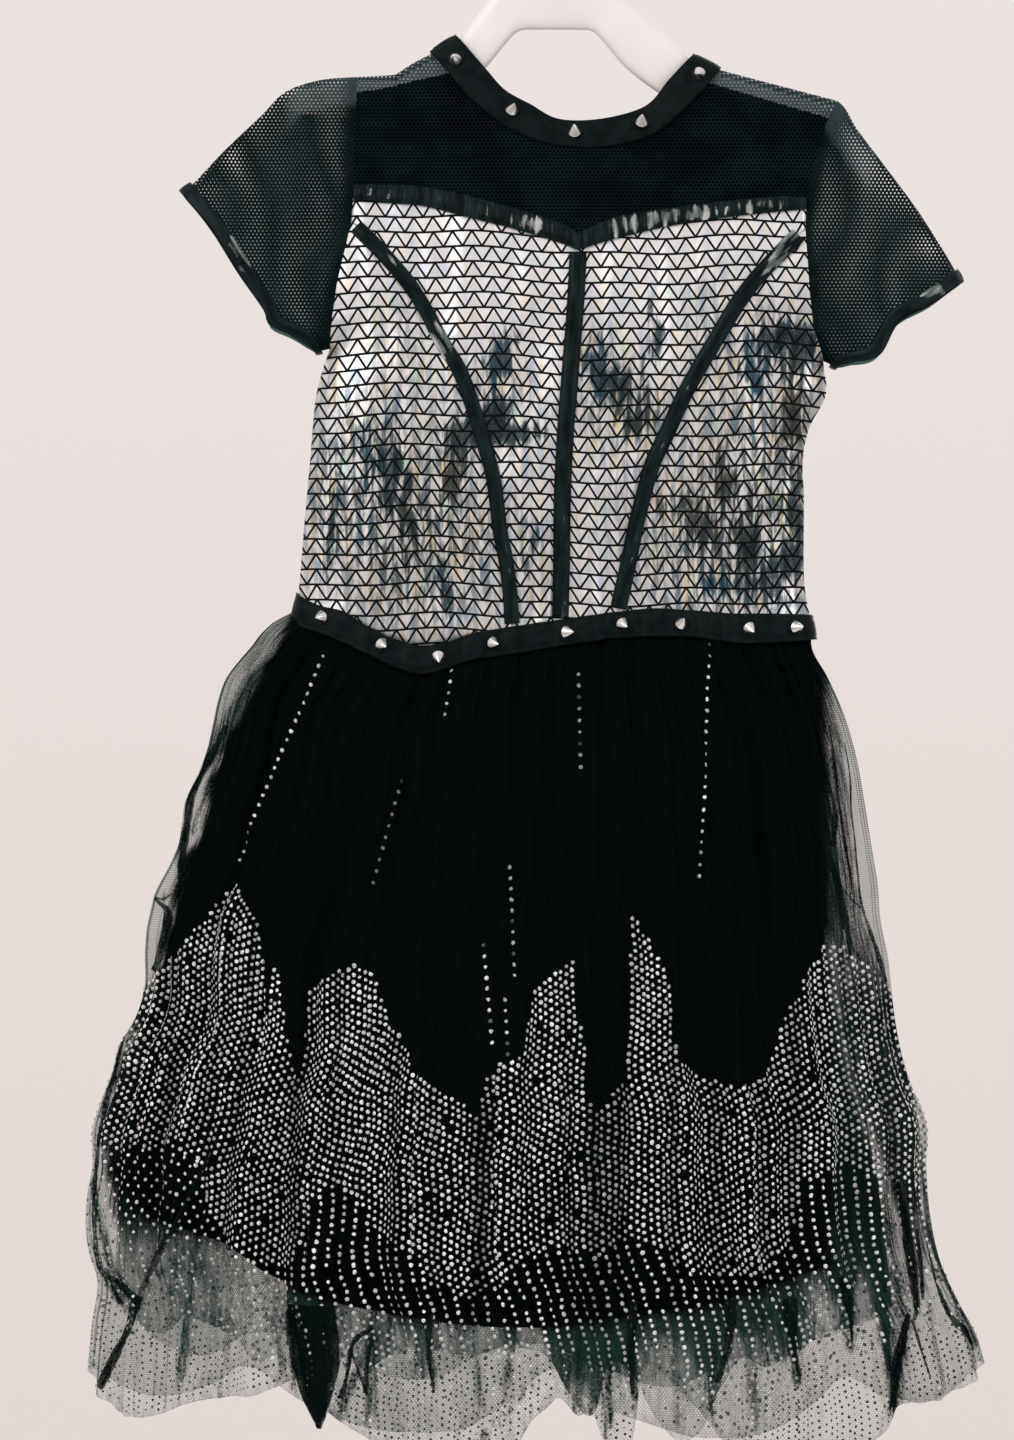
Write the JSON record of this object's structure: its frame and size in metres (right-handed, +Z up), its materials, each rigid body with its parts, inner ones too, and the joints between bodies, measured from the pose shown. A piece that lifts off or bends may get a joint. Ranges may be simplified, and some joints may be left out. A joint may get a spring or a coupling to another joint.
{
  "type": "sequin tulle dress on its hanger",
  "caption": "Child's party dress with mesh yoke and sleeves, foil bodice, studded bands and dotted tulle skirt, hanging on a pale plastic hanger.",
  "frame": {"origin": "top of the inside of the hanger's hook, where it bears on a rail or wall hook", "axes": "+Z up, +X to the right of the front view, the dress's front faces -Y"},
  "size_m": [0.5872, 0.1606, 1.0447],
  "materials": {
    "plastic": "satin pale",
    "mesh_cloth": "fine open mesh",
    "lining_cloth": "dull",
    "satin": "satin",
    "foil_cloth": "metallic foil print",
    "coated_cloth": "glossy coated cloth",
    "tulle": "net with glitter dots",
    "stud_metal": "polished"
  },
  "bodies": {
    "root": {"hanger": "plastic", "yoke_front": "mesh_cloth", "yoke_back": "mesh_cloth", "sleeve_left": "mesh_cloth", "sleeve_right": "mesh_cloth", "yoke_lining": "lining_cloth", "skirt_lining_front": "lining_cloth", "skirt_lining_back": "lining_cloth", "collar_front": "satin", "collar_back": "satin", "sleeve_band_left": "satin", "sleeve_band_right": "satin", "waistband_front": "satin", "waistband_back": "satin", "bodice_side_left": "foil_cloth", "bodice_centre_left": "foil_cloth", "bodice_centre_right": "foil_cloth", "bodice_side_right": "foil_cloth", "bodice_back": "foil_cloth", "neckline_trim": "coated_cloth", "strip_left": "coated_cloth", "strip_centre": "coated_cloth", "strip_right": "coated_cloth", "skirt_net_inner_front": "tulle", "skirt_net_inner_back": "tulle", "skirt_net_outer_front": "tulle", "skirt_net_outer_back": "tulle", "collar_stud_1": "stud_metal", "collar_stud_2": "stud_metal", "collar_stud_3": "stud_metal", "collar_stud_4": "stud_metal", "collar_stud_5": "stud_metal", "waist_stud_1": "stud_metal", "waist_stud_2": "stud_metal", "waist_stud_3": "stud_metal", "waist_stud_4": "stud_metal", "waist_stud_5": "stud_metal", "waist_stud_6": "stud_metal", "waist_stud_7": "stud_metal", "waist_stud_8": "stud_metal", "waist_stud_9": "stud_metal"}
  },
  "joints": []
}
